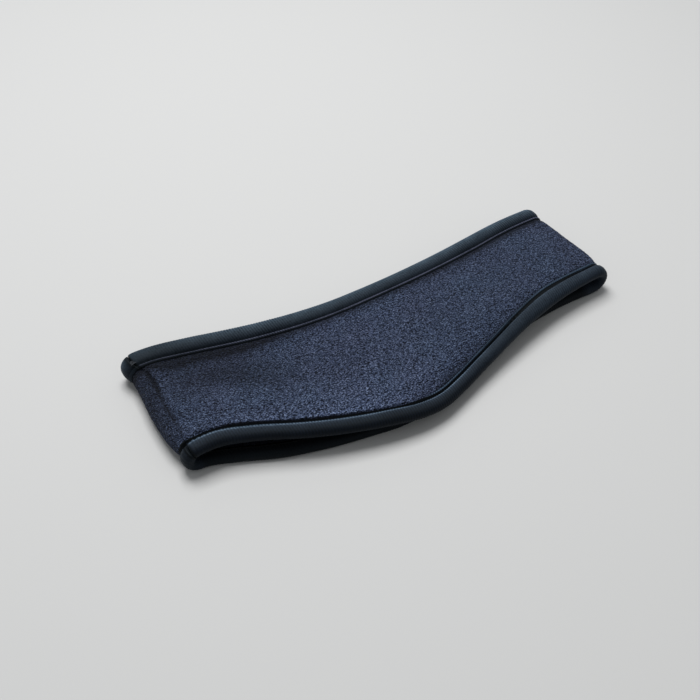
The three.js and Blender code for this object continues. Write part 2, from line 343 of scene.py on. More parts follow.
# %% [markdown]
# All the cloth is skinned the same way: a row of rings of points, each joined to the next by
# four-sided faces. The bridge tool does that by hand, but counting the faces out makes hundreds
# of rings at once. A loop of fleece joins its last ring to its first. A tape has two ends, and
# each gets a lid. Marks are numbers kept on the points, and the finishes read them later.

# %% Skin a row of rings
MM = 0.001


def cloth_piece(name, points, faces, marks):
    mesh = bpy.data.meshes.new(name)
    mesh.from_pydata((points.reshape(-1, 3) * MM).tolist(), [], faces)
    mesh.polygons.foreach_set("use_smooth", [True] * len(mesh.polygons))
    for mark, values in marks.items():
        layer = mesh.attributes.new(mark, "FLOAT", "POINT")
        layer.data.foreach_set("value", np.ascontiguousarray(values, np.float32).ravel())
    piece = bpy.data.objects.new(name, mesh)
    bpy.context.collection.objects.link(piece)
    print(name, "has", sum(len(f) - 2 for f in faces), "triangles")
    return piece


def skin(name, rings, marks, lid=None):
    count, size = rings.shape[:2]
    here = np.arange(count if lid is None else count - 1)[:, None] * size
    j = np.arange(size)[None, :]
    k = (j + 1) % size
    ahead = (here + size) % (count * size)
    faces = np.stack([here + j, here + k, ahead + k, ahead + j], -1).reshape(-1, 4).tolist()
    if lid is not None:
        end = (count - 1) * size
        faces += [tuple(t) for t in lid]
        faces += [tuple(end + c for c in reversed(t)) for t in lid]
    return cloth_piece(name, rings, faces, marks)


print("the band is worked out in millimetres, and a millimetre is", MM, "of Blender's metres")

# %% [markdown]
# The fleece itself is 2.4 mm thick, and thinner where the tapes press it. Its brushed face is
# made of small curled tufts. A subdivided and displaced sheet could show them, but a grid that is
# fine where the eye goes and coarse underneath takes far fewer faces. From the back seam to the
# ears, the ear tape's ridge sinks into the nap, so the fleece reaches further there.

# %% The steps round and across the fleece
FLEECE = 2.4
PRESSED = 1.6
TAPE_WIDTH = 9.4
TAPE_INSET = 2.2
SLOT_IN = 2.0
SUNK_BY = 0.9
SUNK_FADES = (85, 120)
UPPER_END = 246


def tape_wide(edge, along):
    line = middle_surface(along, 0.0 if edge == "top" else 1.0)
    upper = line[..., 2] > LOWER_HEIGHTS[0] + ROLL / 2
    return np.where(upper, through(TAPE_X, TAPE_WIDE[edge], line[..., 0]), 1.0)


def sunk_in_nap(edge, along):
    if edge == "top":
        return 0 * along
    return 1 - rise(np.minimum(along, LOOP - along), *SUNK_FADES)


def tape_reach(edge, along):
    wider = (TAPE_WIDTH - SLOT_IN) * (tape_wide(edge, along) - 1)
    return TAPE_WIDTH / 2 + wider - SUNK_BY * sunk_in_nap(edge, along)


def steps(*bands):
    places = [bands[0][0]]
    for start, stop, step in bands:
        places += list(np.linspace(start, stop, max(1, round((stop - start) / step)) + 1)[1:])
    return np.array(places)


fleece_rounds = steps(
    (0, 3, 0.25), (3, 226, 0.6), (226, UPPER_END, 0.7),
    (UPPER_END, 462, 1.6), (462, 477, 0.7), (477, LOOP, 0.25),
)[:-1]
on_top = np.sum(fleece_rounds < UPPER_END)
print(len(fleece_rounds), "rings of fleece,", on_top, "of them on the upper side")

# %% [markdown]
# Two ends of the strip meet at the back seam. The stitches inside draw a soft valley with a sharp
# line in its middle, and on the inner face the ends lie doubled. Long waves run through the
# cloth, the tapes' stitching draws small puckers, and the tufts stand up everywhere. A displaced
# subdivision would give the same lumps, but not a seam that stays sharp.

# %% The relief of the fleece
SOFT_VALLEY = [(0, 2.6, 0.5)]
SHARP_VALLEY = [(0, 0.75, 1.1)]
DRAWN_IN = [(0.22, 0.16, 0.8), (0.66, 0.12, 0.4)]
DRAWN_EVERYWHERE = 0.2
DOUBLED_END = [(0, 3, 0.9)]
TUFTS = [(2.2, 11, 0.03), (1.0, 12, 0.09)]
WAVES = [(30, 13, 0.22), (10, 14, 0.1)]
PUCKERS = [(5.5, 15, 0.22)]
PUCKERS_REACH = 4
TUFTS_START = (0, 1.5)
WAVES_START = (0, 6)
FLAT_BY_FOLDS = (0, 25)


def seam_valley(from_seam, v):
    drawn_in = DRAWN_EVERYWHERE + spots(v, DRAWN_IN)
    return spots(from_seam, SOFT_VALLEY) + spots(from_seam, SHARP_VALLEY) * drawn_in


def nap_relief(along, across, from_tape):
    from_folds = np.minimum(np.abs(along - HALF_LOOP), np.minimum(along, LOOP - along))
    tufts = lumps(along, across, TUFTS)
    waves = lumps(along, across, WAVES) * rise(from_folds, *FLAT_BY_FOLDS)
    puckers = lumps(along, 0 * across, PUCKERS) * soft_spot(from_tape, 0, PUCKERS_REACH)
    return (tufts + puckers) * rise(from_tape, *TUFTS_START) + waves * rise(from_tape, *WAVES_START)


print("the seam is drawn in by", round(float(seam_valley(0.0, DRAWN_IN[0][0])), 1), "mm at most")

# %% [markdown]
# Under a tape the fleece is pressed flat, and beside it the nap rises again: slowly by the top
# tape, and in a steep bank by the ear tape. On the left it even swells over the ridge of the ear
# tape. The columns of points are close together at both tapes, where the surface bends most, and
# even in between.

# %% The thickness of the fleece
RISE_BY_TOP = (-0.2, 3.3)
RISE_BY_EAR = (-0.1, 0.5)
SWELLING = 0.85
SWELLING_BY_EAR = (-0.05, 0.55, 0, 9)
SWELLING_FADES = (90, 150)
UNDER_TAPE = np.array([TAPE_INSET - TAPE_WIDTH / 2, 1, 3.6])
BY_TAPE = np.array([0, 0.4, 0.8, 1.2])


def fleece_half(along, from_top, from_ear):
    risen = np.minimum(rise(from_top, *RISE_BY_TOP), rise(from_ear, *RISE_BY_EAR))
    swelling = SWELLING * part(from_ear, *SWELLING_BY_EAR) * (1 - rise(along, *SWELLING_FADES))
    return (PRESSED + (FLEECE - PRESSED) * risen) / 2 + swelling


def fleece_face(top_edge, ear_edge, width, columns):
    t = np.linspace(0, 1, columns)[1:-1]
    rows = []
    for start, far, total in zip(top_edge, ear_edge, width):
        first, last = start + BY_TAPE, far - BY_TAPE[::-1]
        open_part = first[-1] + (last[0] - first[-1]) * t
        rows.append(
            np.concatenate([UNDER_TAPE, first, open_part, last, total - UNDER_TAPE[::-1]])
        )
    return np.array(rows)


print("half the fleece in its middle:", round(float(fleece_half(HALF_LOOP, 20.0, 20.0)), 2), "mm")

# %% [markdown]
# Light and shade are painted into the fleece's colour here: painted shadow and shade close under
# each tape, along the seam, on the inner face and on slopes turned from the light, and painted
# light on slopes, banks and the right fold's edge that face it. Only a faint cloudy tone is the
# fleece's own. The patches could be painted on, but a table can be corrected line by line. Each row
# says how far from the seam a patch lies and reaches, where from tape to tape it lies and reaches,
# and how pale it is. The result becomes the mark "nap_tone_and_painted_light" on the mesh.

# %% Painted light and shade on the fleece
PAINTED_LIGHT_SPOTS = [
    (37, 20, 0.06, 0.13, -1.2),
    (26, 22, 0.4, 0.2, -0.7),
    (11, 8, 0.18, 0.08, -0.6),
    (47, 16, 0.52, 0.12, -0.15),
    (75, 50, 0.88, 0.24, 1.1),
    (24, 10, 0.55, 0.14, 0.4),
    (108, 42, 0.35, 0.35, 0.4),
    (125, 25, 1, 0.13, -0.8),
    (165, 25, 1, 0.1, -0.8),
    (205, 25, 1, 0.08, -0.6),
    (236, 6, 0.2, 0.35, 0.9),
    (LOOP - 5, 9, 0.3, 0.6, -0.7),
]
SHADE_OF_TOP_TAPE = 3.4
SHADE_WIDENS = [(30, 40, 2)]
SHADE_OF_EAR_TAPE = [(0, 4, -0.5)]
SHADED_AT = [(118, 12, 1)]
PAINTED_BANK_BY_EAR_TAPE = [(1, 2, 0.8), (0, 0.55, -3.2)]
BANKED_PART = (10, 22, 73, 98)
SEAM_PAINTED_SHADE = [(0.24, 0.15, 1.2), (0.66, 0.12, 0.5)]
SEAM_SHADE_EVERYWHERE = 0.25
SEAM_REACH = 1
CLOUDY = 0.1
CLOUD_CELL = 40
MEAN_WIDTH = 80


def cloud_tone_and_painted_light(along, v, from_top, from_ear):
    # The patches paint light and shade on slopes and fold edges, by_top_tape paints the tape's
    # shadow, by_ear_tape a shaded and lit bank, and by_seam the shade in the seam; only the clouds
    # are the fleece's own tone.
    patches = sum(
        pale * soft_spot(along, place, reach) * soft_spot(v, row, height)
        for place, reach, row, height, pale in PAINTED_LIGHT_SPOTS
    )
    clouds = CLOUDY * cloth_noise(along, v * MEAN_WIDTH, CLOUD_CELL, 16)
    by_top_tape = soft_spot(from_top, 0, SHADE_OF_TOP_TAPE + spots(along, SHADE_WIDENS))
    by_ear_tape = spots(from_ear, SHADE_OF_EAR_TAPE) * spots(along, SHADED_AT)
    by_ear_tape = by_ear_tape + spots(from_ear, PAINTED_BANK_BY_EAR_TAPE) * part(along, *BANKED_PART)
    by_seam = soft_spot(np.minimum(along, LOOP - along), 0, SEAM_REACH)
    by_seam = by_seam * (SEAM_SHADE_EVERYWHERE + spots(v, SEAM_PAINTED_SHADE))
    return patches + clouds + by_ear_tape - by_seam - by_top_tape


print("patches in the nap:", len(PAINTED_LIGHT_SPOTS))

# %% [markdown]
# Now the loop itself. Each ring starts inside the top tape, crosses the outer face to the ear
# tape, turns round and comes back along the inner face. Two sheets would look the same from
# above, but one closed ring has the real thickness and no open edge. The outer face gets many
# columns of points and the relief, and the inner one, which lies in the dark, gets few.

# %% The fleece loop
OUTER_COLUMNS = 106
INNER_COLUMNS = 22
# The inner face is painted darker, as the shade it lies in.
INNER_PAINTED_SHADE = -0.9
FREE_OF_TAPE = (-0.5, 0.5)
VALLEY_UNDER_TAPE = 0.4
VALLEY_REACHES_UNDER = 1


def fleece_rings():
    along = fleece_rounds
    width = band_width(along)
    top_edge, ear_edge = tape_reach("top", along), width - tape_reach("ear", along)
    from_seam = np.minimum(along, LOOP - along)[:, None]
    faces, painted_light_faces = [], []
    for columns, side in ((OUTER_COLUMNS, 1), (INNER_COLUMNS, -1)):
        across = fleece_face(top_edge, ear_edge, width, columns)
        from_top, from_ear = across - top_edge[:, None], ear_edge[:, None] - across
        from_tape = np.minimum(from_top, from_ear)
        out = fleece_half(along[:, None], from_top, from_ear)
        free = rise(from_tape, *FREE_OF_TAPE)
        if side > 0:
            valley = seam_valley(from_seam, across / width[:, None])
            valley = valley * (VALLEY_UNDER_TAPE + (1 - VALLEY_UNDER_TAPE) * free)
            out = out - valley * (from_tape > -VALLEY_REACHES_UNDER)
            out = out + nap_relief(along[:, None], across, from_tape) * (from_tape > 0)
            painted_light_here = cloud_tone_and_painted_light(along[:, None], across / width[:, None], from_top, from_ear)
        else:
            out = out + spots(from_seam, DOUBLED_END) * free
            painted_light_here = np.full(out.shape, INNER_PAINTED_SHADE)
        faces.append((across, side * out))
        painted_light_faces.append(painted_light_here)
    across, out = (np.concatenate([faces[0][i], faces[1][i][:, ::-1]], 1) for i in (0, 1))
    return on_band(along[:, None], across, out), np.concatenate([painted_light_faces[0], painted_light_faces[1][:, ::-1]], 1)


fleece_points, fleece_tone_and_painted_light = fleece_rings()
fleece = skin("fleece_loop", fleece_points, {"nap_tone_and_painted_light": fleece_tone_and_painted_light})

# %% [markdown]
# Each edge is bound with a knitted tape, folded in half over the fleece and sewn down in one
# line. That line pulls a narrow groove: outside it the tape is a plump roll, inside it a thin
# ridge where the tape's own edge is turned in. A bevelled curve would be round all over, so the
# profile is drawn point by point, from the outer edge of the roll to the ridge, as distance in
# and half the thickness.

# %% The profile of a folded tape
TAPE_IN = {
    "top": [
        0, 0.12, 0.45, 1, 1.8, 2.8, 3.9, 5, 6, 6.8,
        7.3, 7.6, 7.8, 8.05, 8.25, 8.45, 8.7, 9, 9.4,
    ],
    "ear": [
        0, 0.12, 0.45, 1, 1.8, 2.8, 3.8, 4.8, 5.6, 6.1,
        6.45, 6.7, 7.4, 8.1, 8.5, 8.7, 8.9, 9.15, 9.4,
    ],
}
TAPE_HALF = {
    "top": [
        0, 0.75, 1.4, 1.95, 2.4, 2.65, 2.72, 2.65, 2.4, 2.05,
        1.6, 1.2, 1.05, 1.15, 1.6, 1.85, 1.7, 1.25, 1.1,
    ],
    "ear": [
        0, 0.75, 1.4, 1.95, 2.4, 2.65, 2.75, 2.72, 2.55, 2.2,
        1.7, 1.1, 0.99, 0.99, 1.15, 1.5, 1.5, 1.2, 1.05,
    ],
}
INNER_POINTS = (1, 3, 5, 7, 9, 11, 13, 15, 17, 18)
GROOVE_IN = {"top": 7.75, "ear": 7.4}
GROOVE_HALF = 1.0
SLOT_HALF = 0.95


def tape_outline(edge):
    outer_side = list(zip(TAPE_IN[edge], TAPE_HALF[edge]))
    inner_side = [(outer_side[i][0], -outer_side[i][1]) for i in reversed(INNER_POINTS)]
    slot = [(TAPE_WIDTH, SLOT_HALF), (SLOT_IN, SLOT_HALF)]
    slot += [(SLOT_IN, -SLOT_HALF), (TAPE_WIDTH, -SLOT_HALF)]
    return np.array(outer_side + slot + inner_side)


print("a tape's section has", len(tape_outline("top")), "points")

# %% [markdown]
# The knit of the tape shows as fine ribs across it, 1.3 mm apart. With six rings to each rib they
# can be real shape, not just a bump in the finish, and they stand out most where the tape is
# stretched round the ear.

# %% The ribs of a tape
RIB_PITCH = 1.3
RIB_HEIGHT = 0.15
RINGS_PER_RIB = 6
RIB_EVEN = 0.7
RIB_VARIES = 0.6
RIB_CELL = 16
OVER_EAR = [(92, 38, 1.3)]
RIB_IN_GROOVE = 0.2
RIB_ABOVE_SLOT = 0.1
GROOVE_REACH = 0.5


def rib_lift(outline, groove_in):
    to_next = np.roll(outline, -1, 0) - np.roll(outline, 1, 0)
    lift = unit(np.stack([-to_next[:, 1], to_next[:, 0]], -1))
    ribbed = (np.abs(outline[:, 1]) > SLOT_HALF + RIB_ABOVE_SLOT) | (outline[:, 0] == 0)
    in_groove = np.abs(outline[:, 0] - groove_in) < GROOVE_REACH
    return lift * np.where(in_groove, RIB_IN_GROOVE, ribbed * 1.0)[:, None]


def rib_strength(edge, along, seed):
    strength = RIB_EVEN + RIB_VARIES * cloth_noise(along, 0 * along, RIB_CELL, seed + 2)
    return strength + (spots(along, OVER_EAR) if edge == "ear" else 0)


def wave(along, pitch):
    return 0.5 + 0.5 * np.cos(2 * math.pi * along / pitch)


print("ribs on each tape:", round(LOOP / RIB_PITCH))

# %% [markdown]
# A tape's section changes along the way. It is a little plumper in places, the stitches pull the
# groove deeper at every needle hole, and the ridge sinks where the nap covers it. At the back
# seam the two ends meet: each end is drawn in to a rounded crease rather than cut off flat, and
# the top tape makes a small knob there. One profile swept along a curve would stay the same all
# the way, so each section is worked out for its own place.

# %% The section of a tape
STITCH_PITCH = 2.6
SEAM_GAP = 0.12
END_ROUND = 0.7
END_STEP = 0.06
END_DRAWN = 0.4
END_DRAWN_REACH = 4
PLUMP_VARIES = 0.045
PLUMP_CELL = 14
KNOB = [(LOOP - 3.5, 3, 0.2)]
STITCH_PULL = 0.12
SUNK_SHARE = 0.9


def tape_section(edge, along, seed):
    outline = tape_outline(edge)
    start, out = outline[:, 0], outline[:, 1]
    from_end = np.minimum(along, LOOP - along) - SEAM_GAP
    drawn = np.sqrt(1 - (1 - np.clip(from_end / END_ROUND, END_STEP, 1)) ** 2)[:, None]
    plump = 1 + PLUMP_VARIES * cloth_noise(along, 0 * along, PLUMP_CELL, seed)[:, None]
    if edge == "top":
        plump = plump + spots(along, KNOB)[:, None]
    sunk = sunk_in_nap(edge, along)[:, None] * (start > GROOVE_IN[edge])
    rib = (RIB_HEIGHT * rib_strength(edge, along, seed) * wave(along, RIB_PITCH))[:, None]
    rib = rib * (1 - sunk)
    in_groove = soft_spot(start, GROOVE_IN[edge], GROOVE_REACH)
    pull = STITCH_PULL * wave(along, STITCH_PITCH)[:, None] * in_groove
    above = np.clip(np.abs(out) - SLOT_HALF, 0, None) * (1 - SUNK_SHARE * sunk)
    swollen = np.sign(out) * (np.minimum(np.abs(out), SLOT_HALF) + above * plump * drawn)
    swollen = swollen - np.sign(out) * pull * (above > 0)
    inward = start + (1 - drawn) * END_DRAWN * np.clip(1 - start / END_DRAWN_REACH, 0, 1)
    lift = rib_lift(outline, GROOVE_IN[edge])
    return inward + rib * drawn * lift[:, 0], swollen + rib * drawn * lift[:, 1]


forehead_out = tape_section("top", np.array([HALF_LOOP]), 21)[1]
print("the top tape is", round(float(np.ptp(forehead_out)), 1), "mm thick at the forehead")

# %% [markdown]
# The sections follow each other round the loop, with a few more at each end, where the tape is
# rounded off. A real tape is guided by hand and wanders a little from its line, and it covers
# more of the fleece where it is folded wider. A curve with a profile could carry the sections,
# but it would twist at the two folds.

# %% The sections along a tape
END_RINGS = np.array([0.1, 0.25, 0.45])
WANDER = 0.18
WANDER_CELL = 30


def tape_rings(edge, seed):
    along = np.linspace(SEAM_GAP, LOOP - SEAM_GAP, round(LOOP / RIB_PITCH) * RINGS_PER_RIB + 1)
    ends = SEAM_GAP + END_RINGS
    along = np.sort(np.concatenate([along, ends, LOOP - ends]))
    inward, out = tape_section(edge, along, seed)
    wander = WANDER * cloth_noise(along, 0 * along, WANDER_CELL, seed + 1)[:, None]
    wide = tape_wide(edge, along)[:, None]
    inward = inward + np.clip(inward - SLOT_IN, 0, None) * (wide - 1)
    if edge == "top":
        return along, on_band(along[:, None], inward - TAPE_WIDTH / 2 + wander, out)
    across = band_width(along)[:, None] + TAPE_WIDTH / 2 - inward + wander
    return along, on_band(along[:, None], across, out)[:, ::-1]


print("rings on each tape:", len(tape_rings("top", 21)[0]))

# %% [markdown]
# Shade is painted into a tape's colour where it is darker in its creases: where its ends meet,
# beside the back seam, round the folds, where the ear tape droops, and on the lower half, which the
# upper one shades. Light and shade are also painted across the tape, from the roll over the
# stitched groove to the ridge. On the ear tape this painted light evens out past the ear, and where
# a ridge is sunk in the nap or runs out, its painted highlight goes too. The lights show part of
# this, and the rest is painted in, worked out as marks.

# %% Where shade is painted on a tape
PAINTED_SHADE_AT_ENDS = (0.9, 1.8)
TOP_SHADE = [(0.37, 12, 62), (0.1, 90, 130)]
LOWER_SHADE = 0.78
LOWER_PART = (245, 253, LOOP - 16, LOOP - 8)
DROOP_SHADE = 0.25
DROOPING_PART = (138, 160, 182, 202)
FOLD_SHADE = [(HALF_LOOP, 8, 0.35)]
KNOB_SHADE = 0.42
EVEN_PART = (115, 160)
EVEN_SHARE = 0.75
EVEN_IN = 5
ROLL_ENDS_IN = 6.5
RIDGE_IN = {"top": 7.3, "ear": 7.8}
NO_TOP_RIDGE_HIGHLIGHT = (LOOP - 14, LOOP - 9)


# Painted shade on a tape: where its ends meet, beside the back seam, round the folds and the knob,
# where the ear tape droops and on the lower half.
def painted_tape_shade(edge, along):
    first, last = PAINTED_SHADE_AT_ENDS
    by_ends = np.maximum(soft_spot(along, 0, first), soft_spot(along, LOOP, last))
    if edge == "top":
        by_seam = sum(much * (1 - rise(along, start, end)) for much, start, end in TOP_SHADE)
        return np.maximum(by_ends, by_seam)
    below = LOWER_SHADE * part(along, *LOWER_PART) + DROOP_SHADE * part(along, *DROOPING_PART)
    by_folds = spots(along, FOLD_SHADE) + KNOB_SHADE * rise(along, *LOWER_PART[2:])
    return np.maximum(by_ends, np.maximum(below, by_folds))


# Where the painted light and shade across a tape is read: past the ear it is evened out, and a sunk
# or ended ridge loses its painted highlight.
def painted_light_taken_at(edge, inward, along):
    past_ridge = np.clip(inward - RIDGE_IN[edge], 0, None)
    if edge == "top":
        return inward - rise(along, *NO_TOP_RIDGE_HIGHLIGHT)[:, None] * past_ridge
    evener = EVEN_SHARE * rise(along, *EVEN_PART)[:, None] * (inward < ROLL_ENDS_IN)
    return inward + evener * (EVEN_IN - inward) - sunk_in_nap("ear", along)[:, None] * past_ridge


print("shade on the lower half of the ear tape:", round(float(painted_tape_shade("ear", 300.0)), 2))

# %% [markdown]
# Both tapes are skinned from their sections. Four marks go on each mesh for the finish to read:
# how far round the loop a point lies, how strong its rib is, how much painted shade it gets in a
# crease or in the shade of the band above it, and how far in from the tape's edge its painted light
# and shade are taken. An unwrapped image could carry them too, but marks stay exactly on their
# points.

# %% The two tapes
def tape_piece(name, edge, seed):
    along, rings = tape_rings(edge, seed)
    outline = tape_outline(edge)
    lid = tessellate_polygon([[Vector((x, y, 0)) for x, y in outline]])
    size = len(outline)
    inward = outline[:, 0]
    if edge == "ear":
        lid = [tuple(size - 1 - c for c in t) for t in lid]
        inward = inward[::-1]
    marks = {
        "along": np.repeat(along[:, None], size, 1),
        "ribbing": np.repeat(rib_strength(edge, along, seed)[:, None], size, 1),
        "painted_shade": np.repeat(painted_tape_shade(edge, along)[:, None], size, 1),
        "inward": painted_light_taken_at(edge, inward, along),
    }
    return skin(name, rings, marks, lid)


top_tape = tape_piece("top_tape", "top", 21)
ear_tape = tape_piece("ear_tape", "ear", 31)

# %% [markdown]
# A sewing machine's stitch is a short bridge of thread between two needle holes. Seen this close
# it is a small bent cylinder whose ends dive into the cloth. A dashed line in the finish would be
# lighter, but it would lie flat in the groove. So each stitch gets its own path, which bends down
# at both ends.

# %% The path of a stitch
THREAD = 0.13
THREAD_SHOWS = 0.3
THREAD_RINGS = np.array([0.45, 0.9, 1, 1, 1, 0.9, 0.45])
STITCH_LENGTH = 2.3
STITCH_DIVE = 0.45


def stitch_line(edge, centres, length, across, out):
    place = np.linspace(-0.5, 0.5, len(THREAD_RINGS))
    along = centres[:, None] + place[None] * length
    dive = STITCH_DIVE * (2 * np.abs(place)) ** 4
    lift = np.sign(out) * (np.abs(out) + THREAD * THREAD_SHOWS - dive[None])
    inward = across + (across - SLOT_IN) * (tape_wide(edge, along) - 1)
    if edge == "top":
        return on_band(along, inward - TAPE_WIDTH / 2, lift)
    return on_band(along, band_width(along) + TAPE_WIDTH / 2 - inward, lift)


print("each stitch bridges", STITCH_LENGTH, "of", STITCH_PITCH, "mm")

# %% [markdown]
# A thread is round, and thinner where it goes into the cloth. A curve with a bevel makes such a
# tube, but hundreds of them are cheaper as one mesh: each stitch is a row of small rings round its
# path, with a lid at either end. To start a ring, it needs a direction that no stitch runs along.

# %% Thread round the paths
THREAD_SIDES = 6
NEVER_ALONG = np.array([0.31, 0.17, 0.93])
OFF_THE_TABLE = 0.01


def thread_tubes(name, paths):
    ahead = unit(np.gradient(paths, axis=1))
    up = unit(np.cross(ahead, NEVER_ALONG))
    other = np.cross(ahead, up)
    angle = np.arange(THREAD_SIDES) * 2 * math.pi / THREAD_SIDES
    radius = THREAD * THREAD_RINGS[None, :, None, None]
    ring = np.cos(angle)[:, None] * up[:, :, None] + np.sin(angle)[:, None] * other[:, :, None]
    points = paths[:, :, None] + radius * ring
    points[..., 2] = np.maximum(points[..., 2], OFF_THE_TABLE)
    size = paths.shape[1] * THREAD_SIDES
    sides = range(THREAD_SIDES)
    faces = []
    for first in range(0, len(paths) * size, size):
        for a in range(first, first + size - THREAD_SIDES, THREAD_SIDES):
            b = a + THREAD_SIDES
            faces += [
                (a + j, b + j, b + (j + 1) % THREAD_SIDES, a + (j + 1) % THREAD_SIDES)
                for j in sides
            ]
        faces.append(tuple(first + j for j in sides))
        faces.append(tuple(first + size - 1 - j for j in sides))
    return cloth_piece(name, points, faces, {})


print("the thread is", 2 * THREAD, "mm thick")

# %% [markdown]
# Each tape has a line of stitches in its groove, on both faces of the band, and four paler
# stitches tack the two ends of the top tape together across the back seam. A particle system
# could spread them, but the band already knows where every point lies.

# %% The stitching in the two grooves
TACK_IN = np.array([5.0, 5.5, 6.0, 6.5])
TACK_LENGTH = 2.6
TACK_OUT = 2.3


def groove_stitching(name, edge):
    centres = np.arange(STITCH_PITCH / 2, LOOP - 1, STITCH_PITCH)
    paths = [
        stitch_line(edge, centres, STITCH_LENGTH, GROOVE_IN[edge], side * GROOVE_HALF)
        for side in (1, -1)
    ]
    return thread_tubes(name, np.concatenate(paths))


top_stitching = groove_stitching("top_stitching", "top")
ear_stitching = groove_stitching("ear_stitching", "ear")
tack_at = np.full(len(TACK_IN), LOOP)
tack_paths = stitch_line("top", tack_at, TACK_LENGTH, TACK_IN[:, None], TACK_OUT)
seam_tack = thread_tubes("seam_tack", tack_paths)

# %% [markdown]
# A material is a small network of nodes. It can be drawn by hand in the shader editor, but a few
# helpers that add a node and fill its sockets keep each network readable as a recipe.

# %% Helpers for material nodes
def wire(tree, node, inputs):
    for key, value in inputs.items():
        if isinstance(value, bpy.types.NodeSocket):
            tree.links.new(value, node.inputs[key])
        else:
            node.inputs[key].default_value = value


def add(tree, kind, inputs, **settings):
    node = tree.nodes.new(kind)
    for key, value in settings.items():
        setattr(node, key, value)
    wire(tree, node, inputs)
    return node


def number(tree, operation, *values):
    node = add(tree, "ShaderNodeMath", dict(enumerate(values)), operation=operation)
    return node.outputs["Value"]


def noise(tree, place, scale, detail, roughness=0.5):
    inputs = {"Vector": place, "Scale": scale, "Detail": detail, "Roughness": roughness}
    return add(tree, "ShaderNodeTexNoise", inputs).outputs


def stretched(tree, value, low, high, new_low=0.0, new_high=1.0):
    inputs = {"Value": value, "From Min": low, "From Max": high}
    inputs.update({"To Min": new_low, "To Max": new_high})
    return add(tree, "ShaderNodeMapRange", inputs).outputs["Result"]


print("made for numbers:", [made.__name__ for made in (wire, add, number, noise, stretched)])

# %% [markdown]
# Colour comes next. A ramp turns a number into a colour, a second colour darkens or tints the
# first by multiplying it, and the marks on the mesh are read by name. Each finish then starts
# with the place on the object in metres, and ends on Blender's own surface shader, whose even
# values are set on its own sockets.

# %% Helpers for colour
def ramp(tree, factor, *stops):
    node = add(tree, "ShaderNodeValToRGB", {"Fac": factor})
    for _ in range(len(stops) - 2):
        node.color_ramp.elements.new(0.5)
    for element, (position, color) in zip(node.color_ramp.elements, stops):
        element.position = position
        element.color = (*color, 1)
    return node.outputs["Color"]


def times(tree, first, second):
    inputs = {0: 1.0, 6: first, 7: second}
    node = add(tree, "ShaderNodeMix", inputs, data_type="RGBA", blend_type="MULTIPLY")
    return node.outputs[2]


def mark_of(tree, name):
    return add(tree, "ShaderNodeAttribute", {}, attribute_name=name).outputs["Fac"]


def new_material(name):
    material = bpy.data.materials.new(name)
    material.use_nodes = True
    tree = material.node_tree
    place = add(tree, "ShaderNodeTexCoord", {}).outputs["Object"]
    return material, tree, place


def finish(material, inputs):
    tree = material.node_tree
    wire(tree, tree.nodes["Principled BSDF"], inputs)
    print(material.name, "has", len(tree.nodes), "nodes")
    return material


print("made for colour:", [made.__name__ for made in (ramp, times, mark_of, new_material, finish)])

# %% [markdown]
# Fleece scatters light in every direction, so it has no highlight, only the pale bloom that its
# standing fibres give at a grazing angle. Its colour follows the tufts: their tips are painted a
# paler slate blue as their light, and the pits between them are painted nearly black as their
# shade. One pattern gives both the colour and the bump, so that each pale spot is also a raised
# one. A hair system would be truer close up, but heavy at this distance. The cloth is brushed
# along its length, so the pattern is squeezed across the band. A pattern's scale is how often it
# repeats in a metre, so curls at 1180 are 0.85 mm apart.

# %% The tufts of the fleece
BRUSHED = (1, 1.25, 1)
CURL_SCALE = 1180.0
STRAND_SCALE = 660.0
BEND_SCALE = 900.0
BENT_BY = (0.0009, 0.0009, 0.0009)


def fleece_tufts(tree, place):
    brushed = add(tree, "ShaderNodeMapping", {"Vector": place, "Scale": BRUSHED}).outputs["Vector"]
    bend = noise(tree, place, BEND_SCALE, 1.0)["Color"]
    shifted = add(
        tree, "ShaderNodeVectorMath", {0: bend, 1: BENT_BY, 2: brushed}, operation="MULTIPLY_ADD"
    )
    curls = {"Vector": shifted.outputs["Vector"], "Scale": CURL_SCALE, "Smoothness": 0.3}
    curls = add(tree, "ShaderNodeTexVoronoi", curls, feature="SMOOTH_F1").outputs["Distance"]
    tips = stretched(tree, curls, 0.15, 0.75, 1.0, 0.0)
    strands = noise(tree, brushed, STRAND_SCALE, 1.0, 0.4)["Fac"]
    off_strand = number(tree, "ABSOLUTE", number(tree, "SUBTRACT", strands, 0.5))
    strand = stretched(tree, off_strand, 0.0, 0.1, 1.0, 0.0)
    return number(tree, "MULTIPLY_ADD", strand, 0.5, tips)


print("curls of nap:", round(1 / CURL_SCALE / MM, 2), "mm along the band,", end=" ")
print(round(1 / CURL_SCALE / BRUSHED[1] / MM, 2), "mm across it")

# %% [markdown]
# The colour follows the tufts, with a little of the single fibres and of the cloudy dye. A photo
# of fleece could be laid over it, but it would repeat and bring its own light along. The mark
# "nap_tone_and_painted_light" then lays its painted light and shade over the colour, and the bumps
# come last: the tufts first, the fibres on top.

# %% The fleece finish
# The pits are painted nearly black as their shade and the tips paler as their light; the slate
# between is the fleece's own colour.
PAINTED_PIT_SHADE, SLATE, PAINTED_TIP_LIGHT = (0.001, 0.002, 0.006), (0.0385, 0.0535, 0.104), (0.16, 0.205, 0.33)
PAINTED_LIGHT_STEPS = (
    (0.0, (0.1, 0.1, 0.12)), (0.25, (1, 1, 1)), (0.5, (1.6, 1.6, 1.55)), (0.75, (2.4, 2.4, 2.3)),
)
DYE_SHADES = (0.3, (1.05, 0.99, 1.0)), (0.7, (0.95, 1.01, 1.0))
FIBRE_SCALE = 2600.0
DYE_SCALE = 35.0
PAINTED_LIGHT_RANGE = (-1.0, 3.0)
LEVEL_RANGE = (0.32, 1.7)


